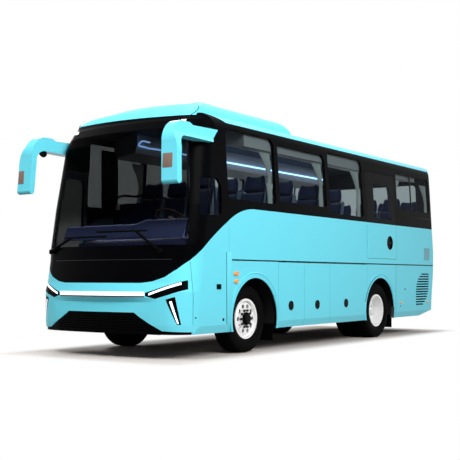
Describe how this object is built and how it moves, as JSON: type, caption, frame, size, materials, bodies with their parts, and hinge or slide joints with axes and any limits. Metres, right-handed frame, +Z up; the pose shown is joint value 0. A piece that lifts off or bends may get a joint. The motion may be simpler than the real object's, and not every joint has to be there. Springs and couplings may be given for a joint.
{
  "type": "electric bus",
  "caption": "Single-deck electric coach with raked black front, black window band, twin rear wheels, hinged doors and hatches, and furnished saloon.",
  "frame": {"origin": "on the ground, under the middle of the box around the bus with its mirrors", "axes": "+Z up, -Y is the way the bus drives, +X is the bus's left side"},
  "size_m": [2.6602, 8.0518, 3.262],
  "materials": {
    "body_paint": "gloss",
    "gloss_black": "gloss",
    "glass": "gloss",
    "tyre": "matte",
    "rim_alloy": "polished",
    "chassis_paint": "satin",
    "rubber": "matte",
    "lamp_clear": "gloss",
    "lamp_red": "gloss",
    "seat_fabric": "matte",
    "dash_plastic": "matte",
    "rack_plastic": "satin",
    "curtain_cloth": "matte",
    "floor_vinyl": "matte",
    "dark_rail": "satin",
    "pack_steel": "satin",
    "lamp_amber": "gloss"
  },
  "bodies": {
    "body": {"air_springs": "rubber", "battery_packs": "pack_steel", "belt_rails": "dark_rail", "cab_partition": "rack_plastic", "corner_panels": "body_paint", "curtains": "curtain_cloth", "dashboard": "dash_plastic", "drive_motor": "pack_steel", "floor_deck": "floor_vinyl", "front_axle": "chassis_paint", "front_bumper": "body_paint", "front_mask": "gloss_black", "headlamps": "gloss_black", "lamp_strips": "lamp_clear", "lower_grille": "gloss_black", "luggage_racks": "rack_plastic", "marker_lamps": "lamp_amber", "mirrors": "body_paint", "mud_flaps": "rubber", "rear_axle": "chassis_paint", "rear_bumper": "body_paint", "rear_panel": "body_paint", "rear_window": "glass", "roof_panel": "body_paint", "roof_pod": "body_paint", "seats": "seat_fabric", "side_glass": "glass", "steering_wheel": "dash_plastic", "tail_lamps": "lamp_red", "towing_eye": "chassis_paint", "underframe": "chassis_paint", "waist_panels": "body_paint", "wheel_arch_panels": "body_paint", "window_bands": "gloss_black", "windscreen": "glass", "wipers": "rubber"},
    "left_steering": {"left_knuckle": "chassis_paint"},
    "right_steering": {"right_knuckle": "chassis_paint"},
    "front_left_wheel": {"front_left_rim": "rim_alloy", "front_left_tyre": "tyre"},
    "front_right_wheel": {"front_right_rim": "rim_alloy", "front_right_tyre": "tyre"},
    "rear_left_wheel": {"rear_left_rims": "rim_alloy", "rear_left_tyres": "tyre"},
    "rear_right_wheel": {"rear_right_rims": "rim_alloy", "rear_right_tyres": "tyre"},
    "exit_door": {"emergency_door": "body_paint", "emergency_door_glass": "glass"},
    "door_swing": {"door_arms": "chassis_paint"},
    "entry_door": {"passenger_door": "body_paint", "passenger_door_glass": "glass"},
    "rear_lid": {"motor_lid": "body_paint"},
    "left_bay_1": {"left_hatch_1": "body_paint"},
    "left_bay_2": {"left_hatch_2": "body_paint"},
    "left_bay_3": {"left_hatch_3": "body_paint"},
    "right_bay_1": {"right_hatch_1": "body_paint"},
    "right_bay_2": {"right_hatch_2": "body_paint"},
    "right_bay_3": {"right_hatch_3": "body_paint"}
  },
  "joints": [
    {"name": "steer_left", "type": "hinge", "parent": "body", "child": "left_steering", "pos_m": [0.88, -2.245, 0.447], "axis": [0, 0, 1], "range_deg": [-38, 38]},
    {"name": "steer_right", "type": "hinge", "parent": "body", "child": "right_steering", "pos_m": [-0.88, -2.245, 0.447], "axis": [0, 0, 1], "range_deg": [-38, 38]},
    {"name": "roll_front_left", "type": "hinge", "parent": "left_steering", "child": "front_left_wheel", "pos_m": [0.9785, -2.245, 0.447], "axis": [1, 0, 0], "continuous": true},
    {"name": "roll_front_right", "type": "hinge", "parent": "right_steering", "child": "front_right_wheel", "pos_m": [-0.9785, -2.245, 0.447], "axis": [1, 0, 0], "continuous": true},
    {"name": "roll_rear_left", "type": "hinge", "parent": "body", "child": "rear_left_wheel", "pos_m": [0.8945, 1.555, 0.447], "axis": [1, 0, 0], "continuous": true},
    {"name": "roll_rear_right", "type": "hinge", "parent": "body", "child": "rear_right_wheel", "pos_m": [-0.8945, 1.555, 0.447], "axis": [1, 0, 0], "continuous": true},
    {"name": "exit_door_swing", "type": "hinge", "parent": "body", "child": "exit_door", "pos_m": [1.243, 1.079, 1.5], "axis": [0, 0, -1], "range_deg": [0, 90]},
    {"name": "entry_arm_swing", "type": "hinge", "parent": "body", "child": "door_swing", "pos_m": [-1.15, -3.41, 0.9], "axis": [0, 0, 1], "range_deg": [0, 95]},
    {"name": "entry_leaf_turn", "type": "hinge", "parent": "door_swing", "child": "entry_door", "pos_m": [-1.15, -2.935, 0.9], "axis": [0, 0, 1], "range_deg": [-95, 0]},
    {"name": "rear_lid_lift", "type": "hinge", "parent": "body", "child": "rear_lid", "pos_m": [0, 4.0024, 1.572], "axis": [1, 0, 0], "range_deg": [0, 75]},
    {"name": "left_bay_1_lift", "type": "hinge", "parent": "body", "child": "left_bay_1", "pos_m": [1.232, -1.307, 1.21], "axis": [0, -1, 0], "range_deg": [0, 85]},
    {"name": "left_bay_2_lift", "type": "hinge", "parent": "body", "child": "left_bay_2", "pos_m": [1.232, -0.5695, 1.21], "axis": [0, -1, 0], "range_deg": [0, 85]},
    {"name": "left_bay_3_lift", "type": "hinge", "parent": "body", "child": "left_bay_3", "pos_m": [1.232, 0.4475, 1.21], "axis": [0, -1, 0], "range_deg": [0, 85]},
    {"name": "right_bay_1_lift", "type": "hinge", "parent": "body", "child": "right_bay_1", "pos_m": [-1.232, -1.307, 1.21], "axis": [0, 1, 0], "range_deg": [0, 85]},
    {"name": "right_bay_2_lift", "type": "hinge", "parent": "body", "child": "right_bay_2", "pos_m": [-1.232, -0.5695, 1.21], "axis": [0, 1, 0], "range_deg": [0, 85]},
    {"name": "right_bay_3_lift", "type": "hinge", "parent": "body", "child": "right_bay_3", "pos_m": [-1.232, 0.4475, 1.21], "axis": [0, 1, 0], "range_deg": [0, 85]}
  ],
  "couplings": [
    {"joint": "steer_right", "follows": "steer_left", "ratio": 1},
    {"joint": "entry_leaf_turn", "follows": "entry_arm_swing", "ratio": -1}
  ]
}
